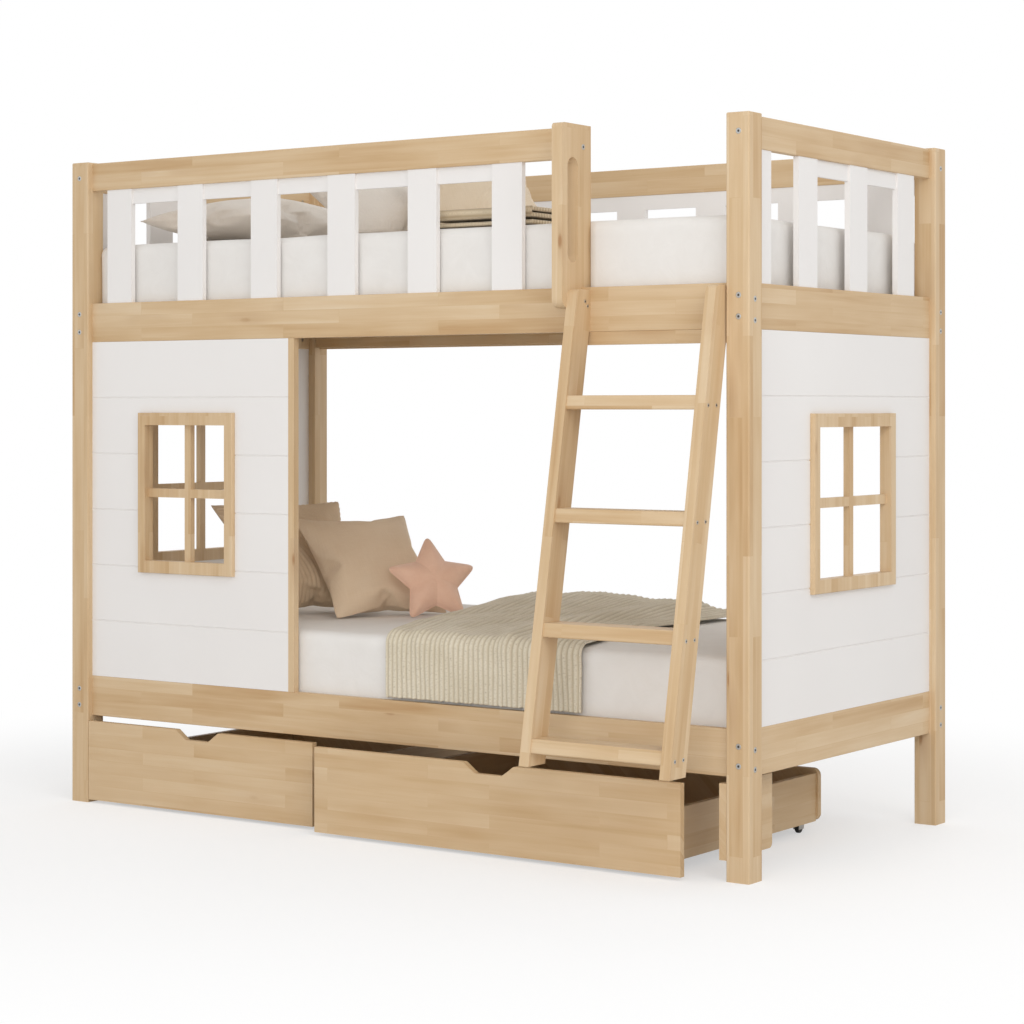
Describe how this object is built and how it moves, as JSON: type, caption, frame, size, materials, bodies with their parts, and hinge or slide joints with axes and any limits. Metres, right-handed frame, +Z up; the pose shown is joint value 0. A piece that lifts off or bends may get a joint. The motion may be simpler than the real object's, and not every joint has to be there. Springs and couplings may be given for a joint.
{
  "type": "house bunk bed",
  "caption": "Pale wood bunk bed with white board walls, small cross-barred windows, a leaning ladder with a handle board, guard rails, rolling drawers and bedding.",
  "frame": {"origin": "on the floor, at the middle of the whole bed with its ladder", "axes": "+X along the bed towards the ladder end, -Y out of the front with ladder and drawers, +Z up"},
  "size_m": [2.005, 1.2046, 1.65],
  "materials": {
    "pale wood": "clear matt lacquer over laminated pale wood",
    "drawer plywood": "unfinished plywood",
    "white painted board": "smooth satin white paint",
    "zinc steel": "zinc plated",
    "black nylon": "matt nylon",
    "white sheet": "smooth cotton sheet",
    "tan linen": "coarse linen weave",
    "pink plush": "short soft pile",
    "cream knit": "chunky ribbed knit",
    "cream cotton": "fine cotton"
  },
  "bodies": {
    "bed": {"bed_slats_lower": "pale wood", "bed_slats_upper": "pale wood", "cushion_arc": "tan linen", "cushion_fan": "cream cotton", "cushion_linen": "tan linen", "cushion_ribbed": "tan linen", "cushion_star": "pink plush", "drawer_guide": "pale wood", "frame_bolts": "zinc steel", "guard_handle_board": "pale wood", "guard_rail_back": "pale wood", "guard_rail_front": "pale wood", "guard_rail_left": "pale wood", "guard_rail_right": "pale wood", "guard_slats_back": "white painted board", "guard_slats_front": "white painted board", "guard_slats_left": "white painted board", "guard_slats_right": "white painted board", "ladder_cleat": "pale wood", "ladder_rungs": "pale wood", "ladder_screws": "zinc steel", "ladder_stringer_left": "pale wood", "ladder_stringer_right": "pale wood", "lower_rail_back": "pale wood", "lower_rail_front": "pale wood", "lower_rail_left": "pale wood", "lower_rail_right": "pale wood", "mattress_lower": "white sheet", "mattress_upper": "white sheet", "panel_edge_strip": "pale wood", "pillow_upper": "cream cotton", "post_back_left": "pale wood", "post_back_right": "pale wood", "post_front_left": "pale wood", "post_front_right": "pale wood", "slat_ledgers": "pale wood", "throw_folded": "tan linen", "throw_knit": "cream knit", "upper_rail_back": "pale wood", "upper_rail_front": "pale wood", "upper_rail_left": "pale wood", "upper_rail_right": "pale wood", "wall_panel_front": "white painted board", "wall_panel_left": "white painted board", "wall_panel_right": "white painted board", "window_frame_front": "pale wood", "window_frame_left": "pale wood", "window_frame_right": "pale wood"},
    "drawer_left": {"drawer_left_bottom": "drawer plywood", "drawer_left_box": "pale wood", "drawer_left_brackets": "zinc steel", "drawer_left_front": "pale wood"},
    "drawer_right": {"drawer_right_bottom": "drawer plywood", "drawer_right_box": "pale wood", "drawer_right_brackets": "zinc steel", "drawer_right_front": "pale wood"},
    "casters_left_front": {"drawer_left_wheels_front": "black nylon"},
    "casters_left_rear": {"drawer_left_wheels_rear": "black nylon"},
    "casters_right_front": {"drawer_right_wheels_front": "black nylon"},
    "casters_right_rear": {"drawer_right_wheels_rear": "black nylon"}
  },
  "joints": [
    {"name": "drawer_left_slide", "type": "slide", "parent": "bed", "child": "drawer_left", "axis": [0, -1, 0], "range_m": [0, 0.6]},
    {"name": "drawer_right_slide", "type": "slide", "parent": "bed", "child": "drawer_right", "axis": [0, -1, 0], "range_m": [-0.052, 0.55]},
    {"name": "caster_left_front", "type": "hinge", "parent": "drawer_left", "child": "casters_left_front", "pos_m": [-0.571, -0.33371, 0.0135], "axis": [1, 0, 0], "continuous": true},
    {"name": "caster_left_rear", "type": "hinge", "parent": "drawer_left", "child": "casters_left_rear", "pos_m": [-0.571, 0.31329, 0.0135], "axis": [1, 0, 0], "continuous": true},
    {"name": "caster_right_front", "type": "hinge", "parent": "drawer_right", "child": "casters_right_front", "pos_m": [0.3565, -0.38571, 0.0135], "axis": [1, 0, 0], "continuous": true},
    {"name": "caster_right_rear", "type": "hinge", "parent": "drawer_right", "child": "casters_right_rear", "pos_m": [0.3565, 0.26129, 0.0135], "axis": [1, 0, 0], "continuous": true}
  ]
}
